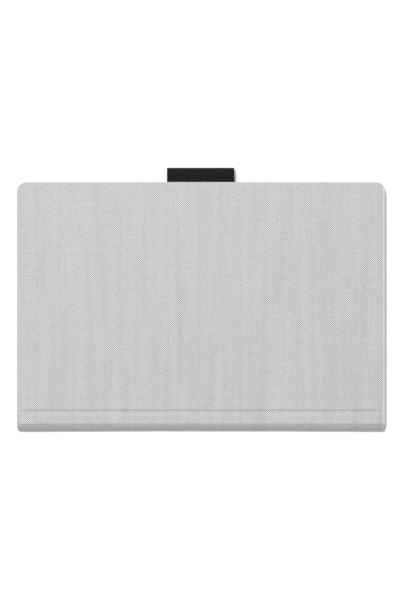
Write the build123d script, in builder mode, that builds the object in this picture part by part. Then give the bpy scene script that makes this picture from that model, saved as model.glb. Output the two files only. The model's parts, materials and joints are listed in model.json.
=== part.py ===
from build123d import *
import os
from math import asin, degrees

# Tablet keyboard case: a folio for a 12-inch-class tablet, modelled shut.
#
# Frame: X runs along the width, +Y points to the free edge with the pen loop, -Y to the spine,
# +Z up. The origin is the centre of the shut case's plan, without the loop, on its underside.
# The tablet half lies underneath with its kickstand towards the table. The keyboard half lies on
# top with its keys facing down. The spine joins them in four folds: a lower fold, a ridge, an
# upper fold, and a crease between the magnetic hinge strip and the keyboard panel.

# ---- Driving dimensions, in millimetres ----
case_width = 295.0
case_depth = 200.0
case_height = 17.4
corner_radius = 8.0
fabric = 0.7
clearance = 0.4
seat_gap = 0.1
slip_fit = 0.05

free_edge = case_depth / 2
ridge_edge = -case_depth / 2
fold_line = -93.9
crease_line = -84.2
crease_half_width = 1.8
bare_fabric = 0.5

half_width = case_width / 2
shell_half_width = half_width - fabric - seat_gap
shell_edge = free_edge - fabric - seat_gap
shell_corner = corner_radius - fabric - seat_gap

# ---- Levels in the tablet half, above the table ----
kickstand_top = 1.9
recess_top = 2.1
floor_top = 3.3
lining_top = 3.7
tablet_front = 11.7
retaining_lip_top = 12.1
fabric_lip = 1.6

# ---- Levels in the keyboard half, from its fabric face towards the keys ----
base_top = 1.5
membrane_top = 1.8
dome_sheet_top = 2.0
dome_top = 4.1
deck_underside = 3.0
deck_top = 4.2
rear_bar_top = 4.45
cap_skirt = 3.5
cap_top = 5.0

# A plane on the keyboard half's fabric face. Its x is the case's X, its y points to the spine,
# and its z points through the panel to the keys, so its sketches look like an open keyboard.
typing_plane = Plane(origin=(0, 0, case_height), x_dir=(1, 0, 0), z_dir=(0, 0, -1))
typing_edge = -free_edge
typing_crease = -crease_line - crease_half_width

finished = []


def keep(builder, name):
    """Names a finished piece and lists it for export."""
    builder.part.label = name
    finished.append(builder.part)


def panel(half, spine_side, edge_side, corner):
    """A rectangle across the width, with its two corners at the free edge rounded."""
    with BuildSketch(mode=Mode.PRIVATE) as outline:
        with Locations((0, (spine_side + edge_side) / 2)):
            Rectangle(2 * half, abs(edge_side - spine_side))
        free_end = -1 if edge_side > spine_side else 0
        fillet(outline.vertices().group_by(Axis.Y)[free_end], corner)
    return outline.sketch


def strip(half, low, high, middle=0.0):
    """A rectangle in the open sketch, from y = low to y = high, centred on x = middle."""
    with Locations((middle, (low + high) / 2)):
        Rectangle(2 * half, high - low)


# =====================================================================================
# Tablet half: fabric back, tray, lining, camera trim and the kickstand's fixed hinge leaf
# =====================================================================================
kickstand_half = 134.9
kickstand_free_edge = -78.4
kickstand_hinge_edge = 12.6
hinge_y = 14.0
hinge_z = 1.25
window_half = 135.5
window_low = -79.0
window_high = 16.8
finger_notch_radius = 9.0

camera_centre = (115.0, 78.0)
camera_length = 26.0
camera_width = 14.0
trim_wall = 1.0

tray_wall = 2.0
tray_spine_edge = -92.5
tray_spine_corner = 3.0
tray_rim = 0.6
cavity_half = shell_half_width - tray_wall
cavity_spine_edge = tray_spine_edge + tray_wall
cavity_edge = shell_edge - tray_wall

lip_reach = 1.2
lip_length = 20.0
lip_x = shell_half_width - lip_length / 2
lip_y = (shell_edge - lip_length / 2, tray_spine_edge + lip_length / 2)

side_opening_height = 4.0
side_opening_level = (lining_top + tablet_front) / 2
tablet_port_y = -12.0
tablet_port_length = 14.0
headset_y = -38.0
power_button_x = -112.0
power_button_length = 16.0
volume_button_x = -80.0
volume_button_length = 28.0


def camera_slot(growth=0.0):
    """The camera opening in the open sketch, grown on every side."""
    with Locations(camera_centre):
        SlotOverall(camera_length + 2 * growth, camera_width + 2 * growth)


with BuildPart() as back_fabric:
    with BuildSketch():
        add(panel(half_width, fold_line + bare_fabric, free_edge, corner_radius))
    extrude(amount=fabric_lip)
    with BuildSketch(Plane.XY.offset(fabric)):
        add(panel(half_width - fabric, fold_line - fabric, free_edge - fabric, corner_radius - fabric))
    extrude(amount=fabric_lip, mode=Mode.SUBTRACT)
    with BuildSketch():
        strip(window_half, window_low, window_high)
        with Locations((0, window_low)):
            Circle(finger_notch_radius)
        camera_slot(seat_gap)
    extrude(amount=fabric, mode=Mode.SUBTRACT)
keep(back_fabric, "back_fabric")

# The piano hinge: knuckles along the width, fixed and moving ones by turns, on one pin.
knuckle_radius = 1.2
knuckle_count = 10
knuckle_pitch = 26.0
knuckle_gap = 0.2
knuckle_groove_gap = 0.25
knuckle_root = 0.4
pin_radius = 0.5
pin_bore_radius = 0.55
leaf_near_edge = 15.4
leaf_far_edge = 24.2
leaf_top = 1.3
hinge_half = knuckle_count * knuckle_pitch / 2
leaf_screw_radius = 0.75
leaf_screw_head_radius = 1.3
leaf_screw_tip = 2.9
leaf_countersink = 42
leaf_screw_points = [(x, 20.0) for x in (-115.0, -69.0, -23.0, 23.0, 69.0, 115.0)]
knuckle_starts = [-hinge_half + knuckle_pitch * i + knuckle_gap / 2 for i in range(knuckle_count)]

closure_magnets = [(-118.0, 86.0), (-92.0, 86.0), (66.0, 86.0), (92.0, 86.0)]
closure_magnet_size = (18.0, 8.0)
closure_magnet_top = 2.2
catch_magnets = [(-70.0, -70.0), (70.0, -70.0)]
catch_magnet_size = (14.0, 6.0)
catch_magnet_top = 2.9

with BuildPart() as tablet_tray:
    with BuildSketch(Plane.XY.offset(fabric)):
        add(panel(shell_half_width, tray_spine_edge, shell_edge, shell_corner))
    extrude(amount=tablet_front - fabric)
    fillet(
        tablet_tray.edges().filter_by(Axis.Z).group_by(Axis.Y)[0],
        tray_spine_corner,
    )
    fillet(tablet_tray.faces().sort_by(Axis.Z)[-1].edges(), tray_rim)
    # The tablet's cavity.
    with BuildSketch(Plane.XY.offset(floor_top)):
        add(panel(cavity_half, cavity_spine_edge, cavity_edge, shell_corner - tray_wall))
    extrude(amount=tablet_front, mode=Mode.SUBTRACT)
    # Four corner lips that snap over the tablet's glass.
    with BuildSketch(Plane.XY.offset(tablet_front)):
        add(
            panel(
                shell_half_width - tray_rim,
                tray_spine_edge + tray_rim,
                shell_edge - tray_rim,
                shell_corner - tray_rim,
            )
        )
        add(
            panel(
                cavity_half - lip_reach,
                cavity_spine_edge + lip_reach,
                cavity_edge - lip_reach,
                shell_corner - tray_wall,
            ),
            mode=Mode.SUBTRACT,
        )
        with Locations(*[(x, y) for x in (-lip_x, lip_x) for y in lip_y]):
            Rectangle(lip_length, lip_length, mode=Mode.INTERSECT)
    extrude(amount=retaining_lip_top - tablet_front)
    # Recess for the kickstand, groove for its knuckles and seat for the fixed leaf.
    with BuildSketch(Plane.XY.offset(fabric)):
        strip(
            kickstand_half + clearance,
            kickstand_free_edge - clearance,
            kickstand_hinge_edge + clearance,
        )
        with Locations((0, window_low)):
            Circle(finger_notch_radius)
    extrude(amount=recess_top - fabric, mode=Mode.SUBTRACT)
    with BuildSketch(Plane.XY.offset(fabric)):
        strip(hinge_half + clearance, kickstand_hinge_edge, leaf_near_edge)
    extrude(amount=hinge_z + knuckle_radius + knuckle_groove_gap - fabric, mode=Mode.SUBTRACT)
    with BuildSketch(Plane.XY.offset(fabric)):
        strip(hinge_half + clearance, leaf_near_edge, leaf_far_edge + clearance)
    extrude(amount=leaf_top - fabric, mode=Mode.SUBTRACT)
    with BuildSketch(Plane.XY.offset(fabric)):
        with Locations(*leaf_screw_points):
            Circle(leaf_screw_radius + slip_fit)
    extrude(amount=leaf_screw_tip + seat_gap - fabric, mode=Mode.SUBTRACT)
    # Magnet pockets.
    with BuildSketch(Plane.XY.offset(fabric)):
        with Locations(*closure_magnets):
            Rectangle(closure_magnet_size[0] + 2 * seat_gap, closure_magnet_size[1] + 2 * seat_gap)
    extrude(amount=closure_magnet_top + seat_gap - fabric, mode=Mode.SUBTRACT)
    with BuildSketch(Plane.XY.offset(recess_top)):
        with Locations(*catch_magnets):
            Rectangle(catch_magnet_size[0] + 2 * seat_gap, catch_magnet_size[1] + 2 * seat_gap)
    extrude(amount=catch_magnet_top + seat_gap - recess_top, mode=Mode.SUBTRACT)
    # Camera opening through the floor.
    with BuildSketch(Plane.XY.offset(fabric)):
        camera_slot(seat_gap)
    extrude(amount=floor_top, mode=Mode.SUBTRACT)
    # Openings in the walls: charging port and headset on the right, buttons at the free edge.
    with BuildSketch(Plane.YZ.offset(cavity_half - tray_wall / 2)):
        with Locations((tablet_port_y, side_opening_level)):
            SlotOverall(tablet_port_length, side_opening_height)
        with Locations((headset_y, side_opening_level)):
            Circle(side_opening_height / 2)
    extrude(amount=2 * tray_wall, mode=Mode.SUBTRACT)
    with BuildSketch(Plane.XZ.offset(-cavity_edge + tray_wall / 2)):
        with Locations((power_button_x, side_opening_level)):
            SlotOverall(power_button_length, side_opening_height)
        with Locations((volume_button_x, side_opening_level)):
            SlotOverall(volume_button_length, side_opening_height)
    extrude(amount=-2 * tray_wall, mode=Mode.SUBTRACT)
keep(tablet_tray, "tablet_tray")

lining_margin = 0.6
with BuildPart() as tray_lining:
    with BuildSketch(Plane.XY.offset(floor_top)):
        add(
            panel(
                cavity_half - lining_margin,
                cavity_spine_edge + lining_margin,
                cavity_edge - lining_margin,
                shell_corner - tray_wall - lining_margin,
            )
        )
        with Locations(camera_centre):
            SlotOverall(camera_length + 2 * seat_gap, camera_width + 2 * seat_gap, mode=Mode.SUBTRACT)
    extrude(amount=lining_top - floor_top)
keep(tray_lining, "tray_lining")

with BuildPart() as camera_trim:
    with BuildSketch():
        camera_slot()
        with Locations(camera_centre):
            SlotOverall(camera_length - 2 * trim_wall, camera_width - 2 * trim_wall, mode=Mode.SUBTRACT)
    extrude(amount=lining_top - seat_gap)
keep(camera_trim, "camera_trim")

with BuildPart() as kickstand_hinge_leaf:
    with BuildSketch(Plane.XY.offset(fabric)):
        strip(hinge_half, leaf_near_edge, leaf_far_edge)
    extrude(amount=leaf_top - fabric)
    for start in knuckle_starts[0::2]:
        with BuildSketch(Plane.YZ.offset(start)):
            with Locations((hinge_y, hinge_z)):
                Circle(knuckle_radius)
            with Locations(((hinge_y + leaf_near_edge + knuckle_root) / 2, (fabric + leaf_top) / 2)):
                Rectangle(leaf_near_edge + knuckle_root - hinge_y, leaf_top - fabric)
            with Locations((hinge_y, hinge_z)):
                Circle(pin_bore_radius, mode=Mode.SUBTRACT)
        extrude(amount=knuckle_pitch - knuckle_gap)
    with BuildSketch(Plane.XY.offset(fabric)):
        with Locations(*leaf_screw_points):
            Circle(leaf_screw_head_radius + slip_fit)
    extrude(amount=leaf_top - fabric, taper=leaf_countersink, mode=Mode.SUBTRACT)
    with BuildSketch(Plane.XY.offset(fabric)):
        with Locations(*leaf_screw_points):
            Circle(leaf_screw_radius + slip_fit)
    extrude(amount=leaf_top - fabric, mode=Mode.SUBTRACT)
keep(kickstand_hinge_leaf, "kickstand_hinge_leaf")

with BuildPart() as leaf_screws:
    with BuildSketch(Plane.XY.offset(fabric)):
        with Locations(*leaf_screw_points):
            Circle(leaf_screw_head_radius)
    extrude(amount=leaf_top - fabric, taper=leaf_countersink)
    with BuildSketch(Plane.XY.offset(fabric)):
        with Locations(*leaf_screw_points):
            Circle(leaf_screw_radius)
    extrude(amount=leaf_screw_tip - fabric)
keep(leaf_screws, "leaf_screws")

with BuildPart() as kickstand_hinge_pin:
    with BuildSketch(Plane.YZ.offset(-hinge_half + knuckle_gap)):
        with Locations((hinge_y, hinge_z)):
            Circle(pin_radius)
    extrude(amount=2 * (hinge_half - knuckle_gap))
keep(kickstand_hinge_pin, "kickstand_hinge_pin")

with BuildPart() as tray_magnets:
    with BuildSketch(Plane.XY.offset(fabric)):
        with Locations(*closure_magnets):
            Rectangle(*closure_magnet_size)
    extrude(amount=closure_magnet_top - fabric)
    with BuildSketch(Plane.XY.offset(recess_top)):
        with Locations(*catch_magnets):
            Rectangle(*catch_magnet_size)
    extrude(amount=catch_magnet_top - recess_top)
keep(tray_magnets, "tray_magnets")

# =====================================================================================
# Kickstand: a plate on the moving knuckles, faced with fabric, with a rubber foot
# =====================================================================================
plate_corner = 4.0
web_top = 1.7
web_root = 1.0
kickstand_fabric_end = 12.0
foot_depth = 2.4
foot_half = 62.0
foot_middle = 66.0

with BuildPart() as kickstand_plate:
    with BuildSketch(Plane.XY.offset(fabric)):
        add(panel(kickstand_half, kickstand_hinge_edge, kickstand_free_edge, plate_corner))
    extrude(amount=kickstand_top - fabric)
    for start in knuckle_starts[1::2]:
        with BuildSketch(Plane.YZ.offset(start)):
            with Locations((hinge_y, hinge_z)):
                Circle(knuckle_radius)
            with Locations(((kickstand_hinge_edge - web_root + hinge_y) / 2, (fabric + web_top) / 2)):
                Rectangle(hinge_y - kickstand_hinge_edge + web_root, web_top - fabric)
            with Locations((hinge_y, hinge_z)):
                Circle(pin_bore_radius, mode=Mode.SUBTRACT)
        extrude(amount=knuckle_pitch - knuckle_gap)
keep(kickstand_plate, "kickstand_plate")

with BuildPart() as kickstand_fabric:
    with BuildSketch():
        strip(kickstand_half, kickstand_free_edge + foot_depth + seat_gap, kickstand_fabric_end)
    extrude(amount=fabric)
keep(kickstand_fabric, "kickstand_fabric")

with BuildPart() as kickstand_foot:
    with BuildSketch():
        for middle in (-foot_middle, foot_middle):
            with Locations((middle, kickstand_free_edge + foot_depth / 2)):
                SlotOverall(2 * foot_half, foot_depth)
    extrude(amount=fabric)
keep(kickstand_foot, "kickstand_foot")

# =====================================================================================
# Spine: two limbs that meet at the ridge, each a fabric face, a board and a lining
# =====================================================================================
lower_fold = Vector(0, fold_line, fabric / 2)
upper_fold = Vector(0, fold_line, case_height - fabric / 2)
ridge = Vector(0, ridge_edge + fabric / 2, case_height / 2)
limb_length = (ridge - lower_fold).length
board_thickness = 0.6
lining_thickness = 0.4
board_trim = 1.5
limb_inset = 0.5
limb_board_inset = 2.5
lining_inset = 1.0


def limb_plane(start, end):
    """A plane in a limb's middle: y runs from start to end, z towards the inside of the case."""
    along = end - start
    return Plane(origin=(start + end) / 2, x_dir=(1, 0, 0), z_dir=Vector(1, 0, 0).cross(along))


for limb_name, limb in (
    ("spine_lower", limb_plane(ridge, lower_fold)),
    ("spine_upper", limb_plane(upper_fold, ridge)),
):
    with BuildPart() as limb_fabric:
        with BuildSketch(limb.offset(-fabric / 2)):
            Rectangle(2 * (half_width - limb_inset), limb_length - 2 * bare_fabric)
        extrude(amount=fabric)
    keep(limb_fabric, limb_name + "_fabric")

    with BuildPart() as limb_board:
        with BuildSketch(limb.offset(fabric / 2)):
            Rectangle(2 * (half_width - limb_board_inset), limb_length - 2 * board_trim)
        extrude(amount=board_thickness)
    keep(limb_board, limb_name + "_board")

    with BuildPart() as limb_lining:
        with BuildSketch(limb.offset(fabric / 2 + board_thickness)):
            Rectangle(2 * (half_width - lining_inset), limb_length - 2 * board_trim)
        extrude(amount=lining_thickness)
    keep(limb_lining, limb_name + "_lining")

# =====================================================================================
# Hinge strip: the magnetic bar between the spine and the keyboard panel
# =====================================================================================
strip_bar_low = -92.4
strip_bar_high = crease_line - crease_half_width
strip_bar_depth = 2.5
strip_outer = case_height - fabric
strip_inner = strip_outer - strip_bar_depth
strip_board_inset = 1.5
strip_lining_overhang = 0.4
strip_magnet_size = (40.0, 3.6)
strip_magnet_depth = 1.5
strip_magnet_x = (-108.0, -36.0, 36.0, 108.0)
strip_magnet_points = [(x, (strip_bar_low + strip_bar_high) / 2) for x in strip_magnet_x]

with BuildPart() as strip_fabric:
    with BuildSketch(Plane.XY.offset(strip_outer)):
        strip(half_width, fold_line + bare_fabric, crease_line - bare_fabric)
    extrude(amount=fabric)
keep(strip_fabric, "strip_fabric")

with BuildPart() as strip_board:
    with BuildSketch(Plane.XY.offset(strip_inner)):
        strip(half_width - strip_board_inset, strip_bar_low, strip_bar_high)
    extrude(amount=strip_bar_depth)
    with BuildSketch(Plane.XY.offset(strip_inner)):
        with Locations(*strip_magnet_points):
            Rectangle(strip_magnet_size[0] + 2 * seat_gap, strip_magnet_size[1] + 2 * seat_gap)
    extrude(amount=strip_magnet_depth + seat_gap, mode=Mode.SUBTRACT)
keep(strip_board, "strip_board")

with BuildPart() as strip_magnets:
    with BuildSketch(Plane.XY.offset(strip_inner)):
        with Locations(*strip_magnet_points):
            Rectangle(*strip_magnet_size)
    extrude(amount=strip_magnet_depth)
keep(strip_magnets, "strip_magnets")

with BuildPart() as strip_lining:
    with BuildSketch(Plane.XY.offset(strip_inner - lining_thickness)):
        strip(
            half_width - lining_inset,
            strip_bar_low - strip_lining_overhang,
            strip_bar_high + strip_lining_overhang,
        )
    extrude(amount=lining_thickness)
keep(strip_lining, "strip_lining")

# =====================================================================================
# Keyboard half. Every sketch below lies on the typing plane unless it says otherwise.
# =====================================================================================

# ---- Key layout: five full rows and a row of half-depth function keys, fifteen units wide ----
key_pitch = 18.4
row_pitch = 17.8
key_gap = 2.4
key_depth = row_pitch - key_gap
function_depth = 8.6
arrow_gap = 1.4
arrow_depth = (key_depth - arrow_gap) / 2
arrow_offset = (arrow_depth + arrow_gap) / 2
keys_left = -7.5 * key_pitch
row_y = [-21.6 + row_pitch * row for row in range(5)]
function_row_y = row_y[4] + (key_depth + function_depth) / 2 + key_gap


def key_run(first_unit, widths, y, depth=key_depth):
    """(x, y, width, depth) of each key in a run along a row, with widths in key units."""
    keys = []
    unit = first_unit
    for width in widths:
        keys.append((keys_left + (unit + width / 2) * key_pitch, y, width * key_pitch - key_gap, depth))
        unit += width
    return keys


key_groups = {
    "left_modifier_keys": key_run(0, [1.25, 1, 1, 1.25], row_y[0]),
    "space_bar": key_run(4.5, [5.5], row_y[0]),
    "right_modifier_keys": key_run(10, [1, 1], row_y[0]),
    "left_arrow_key": key_run(12, [1], row_y[0] - arrow_offset, arrow_depth),
    "down_arrow_key": key_run(13, [1], row_y[0] - arrow_offset, arrow_depth),
    "up_arrow_key": key_run(13, [1], row_y[0] + arrow_offset, arrow_depth),
    "right_arrow_key": key_run(14, [1], row_y[0] - arrow_offset, arrow_depth),
    "left_shift_key": key_run(0, [2.25], row_y[1]),
    "lower_letter_keys": key_run(2.25, [1] * 10, row_y[1]),
    "right_shift_key": key_run(12.25, [2.75], row_y[1]),
    "caps_lock_key": key_run(0, [1.75], row_y[2]),
    "home_row_keys": key_run(1.75, [1] * 11, row_y[2]),
    "enter_key": key_run(12.75, [2.25], row_y[2]),
    "tab_key": key_run(0, [1.5], row_y[3]),
    "upper_letter_keys": key_run(1.5, [1] * 12 + [1.5], row_y[3]),
    "number_row_keys": key_run(0, [1] * 13, row_y[4]),
    "backspace_key": key_run(13, [2], row_y[4]),
    "function_row_keys": key_run(0, [1] * 15, function_row_y, function_depth),
}
all_keys = [key for run in key_groups.values() for key in run]

cap_corner = 1.3
least_cap_corner = 0.4
cap_edge = 0.25
cap_wall = 0.8


def key_outlines(keys, growth):
    """The plan of each key in the open sketch, grown (or shrunk) on every side."""
    for x, y, width, depth in keys:
        with Locations((x, y)):
            RectangleRounded(
                width + 2 * growth,
                depth + 2 * growth,
                max(cap_corner + growth, least_cap_corner),
            )


for group_name, keys in key_groups.items():
    with BuildPart() as keycaps:
        with BuildSketch(typing_plane.offset(cap_skirt)):
            key_outlines(keys, 0)
        extrude(amount=cap_top - cap_skirt)
        chamfer(keycaps.faces().group_by(Axis.Z)[0].edges(), cap_edge)
        with BuildSketch(typing_plane.offset(cap_skirt)):
            key_outlines(keys, -cap_wall)
        extrude(amount=cap_top - cap_wall - cap_skirt, mode=Mode.SUBTRACT)
    keep(keycaps, group_name)

# ---- Touchpad, screws, bumpers and the pieces in the rear bar ----
touchpad_centre = (-4.6, -66.5)
touchpad_size = (104.0, 56.0)
touchpad_corner = 3.0
touchpad_edge = 0.2
touchpad_top = 4.1
touchpad_flange = 1.5
flange_top = 2.9
touchpad_bottom = 2.6

rear_bar_low = 71.0
deck_inset = 0.6
deck_half = half_width - deck_inset
deck_edge = typing_edge + deck_inset
deck_corner = corner_radius - deck_inset
deck_crease = typing_crease - 0.2
deck_wall = 2.2
deck_rim = 0.8
rear_bar_rim = 0.2
rear_bar_wall = 1.0
rear_bar_roof = 4.0
rear_centre = 76.0

screw_radius = 0.65
screw_hole_radius = screw_radius + slip_fit
screw_head_radius = 1.35
screw_tip = 2.8
screw_countersink = 40
post_radius = 2.2
palm_screws = [(x, y) for x in (-141.0, -62.0, 54.0, 141.0) for y in (-93.0, -34.5)]
rear_screws = [(x, rear_centre) for x in (-105.0, -35.0, 35.0, 105.0)]

port_width = 7.5
port_low = 1.6
port_high = 3.95
port_depth = 5.5
port_wall = 0.3
port_gap = 0.2
port_corner = 0.7
port_plug_depth = 0.6
port_tongue_height = 0.6
switch_slot = 6.2
switch_low = 2.0
switch_high = 3.6
light_points = [(x, rear_centre) for x in (118.0, 124.0, 130.0)]
light_radius = 0.6
bumper_points = [(x, y) for x in (-142.0, 142.0) for y in (-88.0, 14.0)]
bumper_radius = 2.0
bumper_top = 5.2
bumper_round = 0.5


def level(h):
    """World height of a level in the keyboard half."""
    return case_height - h


# The pen loop's flat tail sits in a notch of the base plate, under the fabric.
loop_length = 53.6
loop_outer = 5.6
loop_wall = 0.9
loop_centre_y = 106.0
loop_centre_z = level(fabric) - loop_outer
loop_tail_end = 91.0
notch_gap = 0.2
notch_half = loop_length / 2 + notch_gap
notch_depth = 10.0

with BuildPart() as keyboard_fabric:
    with BuildSketch(typing_plane):
        add(panel(half_width, typing_crease + crease_half_width - bare_fabric, typing_edge, corner_radius))
    extrude(amount=base_top)
    with BuildSketch(typing_plane.offset(fabric)):
        add(panel(half_width - fabric, -fold_line, typing_edge + fabric, corner_radius - fabric))
        strip(notch_half, typing_edge - fabric, typing_edge + 2 * fabric)
    extrude(amount=base_top, mode=Mode.SUBTRACT)
keep(keyboard_fabric, "keyboard_fabric")

with BuildPart() as base_plate:
    with BuildSketch(typing_plane.offset(fabric)):
        add(panel(shell_half_width, typing_crease, typing_edge + fabric + seat_gap, shell_corner))
        with Locations((0, -loop_tail_end + notch_gap - notch_depth / 2)):
            Rectangle(2 * notch_half, notch_depth, mode=Mode.SUBTRACT)
    extrude(amount=base_top - fabric)
    with BuildSketch(typing_plane.offset(fabric)):
        with Locations(*palm_screws, *rear_screws):
            Circle(screw_head_radius + slip_fit)
    extrude(amount=base_top - fabric, taper=screw_countersink, mode=Mode.SUBTRACT)
    with BuildSketch(typing_plane.offset(fabric)):
        with Locations(*palm_screws, *rear_screws):
            Circle(screw_hole_radius)
    extrude(amount=base_top - fabric, mode=Mode.SUBTRACT)
keep(base_plate, "base_plate")

with BuildPart() as deck_screws:
    with BuildSketch(typing_plane.offset(fabric)):
        with Locations(*palm_screws, *rear_screws):
            Circle(screw_head_radius)
    extrude(amount=base_top - fabric, taper=screw_countersink)
    with BuildSketch(typing_plane.offset(fabric)):
        with Locations(*palm_screws, *rear_screws):
            Circle(screw_radius)
    extrude(amount=screw_tip - fabric)
keep(deck_screws, "deck_screws")

with BuildPart() as keyboard_deck:
    with BuildSketch(typing_plane.offset(base_top)):
        add(panel(deck_half, deck_crease, deck_edge, deck_corner))
    extrude(amount=deck_top - base_top)
    fillet(keyboard_deck.faces().sort_by(Axis.Z)[0].edges(), deck_rim)
    with BuildSketch(typing_plane.offset(base_top)):
        strip(deck_half, rear_bar_low, deck_crease)
    extrude(amount=rear_bar_top - base_top)
    fillet(keyboard_deck.faces().sort_by(Axis.Z)[0].edges(), rear_bar_rim)
    # Hollow under the top plate, deeper in the rear bar.
    with BuildSketch(typing_plane.offset(base_top)):
        add(
            panel(
                deck_half - deck_wall,
                deck_crease - deck_wall,
                deck_edge + deck_wall,
                deck_corner - deck_wall,
            )
        )
        with Locations(*palm_screws):
            Circle(post_radius, mode=Mode.SUBTRACT)
    extrude(amount=deck_underside - base_top, mode=Mode.SUBTRACT)
    with BuildSketch(typing_plane.offset(deck_underside)):
        strip(deck_half - deck_wall, rear_bar_low + rear_bar_wall, deck_crease - deck_wall)
    extrude(amount=rear_bar_roof - deck_underside, mode=Mode.SUBTRACT)
    with BuildSketch(typing_plane.offset(base_top)):
        with Locations(*rear_screws):
            Circle(post_radius)
    extrude(amount=rear_bar_roof - base_top)
    with BuildSketch(typing_plane.offset(base_top)):
        with Locations(*palm_screws, *rear_screws):
            Circle(screw_hole_radius)
    extrude(amount=screw_tip + seat_gap - base_top, mode=Mode.SUBTRACT)
    # Key, touchpad and light openings.
    with BuildSketch(typing_plane.offset(deck_underside)):
        key_outlines(all_keys, clearance)
        with Locations(touchpad_centre):
            RectangleRounded(
                touchpad_size[0] + 2 * clearance,
                touchpad_size[1] + 2 * clearance,
                touchpad_corner + clearance,
            )
    extrude(amount=deck_top - deck_underside, mode=Mode.SUBTRACT)
    with BuildSketch(typing_plane.offset(deck_underside)):
        with Locations(*light_points):
            Circle(light_radius + slip_fit)
    extrude(amount=rear_bar_top, mode=Mode.SUBTRACT)
    # Charging port opening in the left wall and power switch slot in the right wall.
    with BuildSketch(Plane.YZ.offset(-half_width)):
        with Locations((-rear_centre, level((port_low + port_high) / 2))):
            Rectangle(port_width + 2 * port_gap, port_high - port_low + port_gap)
    extrude(amount=2 * deck_wall, mode=Mode.SUBTRACT)
    with BuildSketch(Plane.YZ.offset(deck_half - 1.5 * deck_wall)):
        with Locations((-rear_centre, level((switch_low + switch_high) / 2))):
            Rectangle(switch_slot, switch_high - switch_low)
    extrude(amount=2 * deck_wall, mode=Mode.SUBTRACT)
keep(keyboard_deck, "keyboard_deck")

# ---- Keyboard electronics, between the base plate and the deck ----
membrane_half = 138.6
membrane_low = -31.0
membrane_high = 70.5
membrane_tail_half = 6.0
board_low = -87.0
board_high = -41.0
main_board_middle = 118.0
main_board_half = 16.0

with BuildPart() as membrane_circuit:
    with BuildSketch(typing_plane.offset(base_top)):
        strip(membrane_half, membrane_low, membrane_high)
        strip(membrane_tail_half, board_high, membrane_low, main_board_middle)
    extrude(amount=membrane_top - base_top)
keep(membrane_circuit, "membrane_circuit")

dome_foot_radius = 2.2
dome_taper = 28
small_dome_radius = 1.3

with BuildPart() as dome_sheet:
    with BuildSketch(typing_plane.offset(membrane_top)):
        strip(membrane_half, membrane_low, membrane_high)
    extrude(amount=dome_sheet_top - membrane_top)
    with BuildSketch(typing_plane.offset(dome_sheet_top)):
        for x, y, _, depth in all_keys:
            with Locations((x, y)):
                Circle(dome_foot_radius if depth == key_depth else small_dome_radius)
    extrude(amount=dome_top - dome_sheet_top, taper=dome_taper)
keep(dome_sheet, "dome_sheet")

link_bar = 0.8
link_thickness = 0.4
link_level = 3.1
link_rise = 0.78
outer_link_width = 11.0
inner_link_width = 8.6
longest_link = 9.0
link_gap = 0.8
wide_key = 34.0
wide_key_inset = 10.0


def link_points(x, width):
    """Where a key's scissors stand: at its middle, and near both ends of a wide key."""
    if width < wide_key:
        return [x]
    reach = width / 2 - wide_key_inset
    return [x - reach, x, x + reach]


with BuildPart() as scissor_links:
    for row, depth in sorted({(y, depth) for _, y, _, depth in all_keys}):
        link_depth = min(depth - 2 * cap_wall - link_gap, longest_link)
        tilt = degrees(asin(2 * link_rise / link_depth))
        row_links = [(at, 0) for x, y, width, _ in all_keys if y == row for at in link_points(x, width)]
        centre = typing_plane.offset(link_level).from_local_coords(Vector(0, row, 0))
        for angle, link_width in ((tilt, outer_link_width), (-tilt, inner_link_width)):
            link = Plane(origin=centre, x_dir=(1, 0, 0), z_dir=(0, 0, -1)).rotated((angle, 0, 0))
            with BuildSketch(link.offset(-link_thickness / 2)):
                with Locations(*row_links):
                    Rectangle(link_width, link_depth)
                    Rectangle(link_width - 2 * link_bar, link_depth - 2 * link_bar, mode=Mode.SUBTRACT)
            extrude(amount=link_thickness)
keep(scissor_links, "scissor_links")

with BuildPart() as touchpad:
    with BuildSketch(typing_plane.offset(touchpad_bottom)):
        with Locations(touchpad_centre):
            RectangleRounded(
                touchpad_size[0] + 2 * touchpad_flange,
                touchpad_size[1] + 2 * touchpad_flange,
                touchpad_corner,
            )
    extrude(amount=flange_top - touchpad_bottom)
    with BuildSketch(typing_plane.offset(flange_top)):
        with Locations(touchpad_centre):
            RectangleRounded(*touchpad_size, touchpad_corner)
    extrude(amount=touchpad_top - flange_top)
    chamfer(touchpad.faces().group_by(Axis.Z)[0].edges(), touchpad_edge)
keep(touchpad, "touchpad")

touchpad_board_half = 48.0
touchpad_board_end = -42.5
touchpad_board_thickness = 0.5
click_switch_radius = 2.5
click_switch_height = 0.75
click_switch_y = -81.0

with BuildPart() as touchpad_board:
    with BuildSketch(typing_plane.offset(base_top)):
        strip(touchpad_board_half, board_low, touchpad_board_end, touchpad_centre[0])
    extrude(amount=touchpad_board_thickness)
    with BuildSketch(typing_plane.offset(base_top)):
        with Locations((touchpad_centre[0], click_switch_y)):
            Circle(click_switch_radius)
    extrude(amount=click_switch_height)
keep(touchpad_board, "touchpad_board")

main_board_thickness = 0.6
chip_height = 0.7
# (x from the board's middle, y, width, depth) of each chip on the main board.
chips = [
    (0.0, -60.0, 9.0, 9.0),
    (4.0, -76.0, 6.0, 5.0),
    (-8.0, -76.0, 3.0, 2.0),
    (-8.0, -72.0, 3.0, 2.0),
    (0.0, -43.5, 14.0, 3.0),
]

with BuildPart() as main_board:
    with BuildSketch(typing_plane.offset(base_top)):
        strip(main_board_half, board_low, board_high, main_board_middle)
    extrude(amount=main_board_thickness)
    with BuildSketch(typing_plane.offset(base_top + main_board_thickness)):
        for x, y, width, depth in chips:
            with Locations((main_board_middle + x, y)):
                Rectangle(width, depth)
    extrude(amount=chip_height)
keep(main_board, "main_board")

ribbon_low = -46.0
ribbon_high = -43.0
ribbon_thickness = 0.2
ribbon_start = touchpad_centre[0] + touchpad_board_half
ribbon_end = main_board_middle - main_board_half

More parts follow.
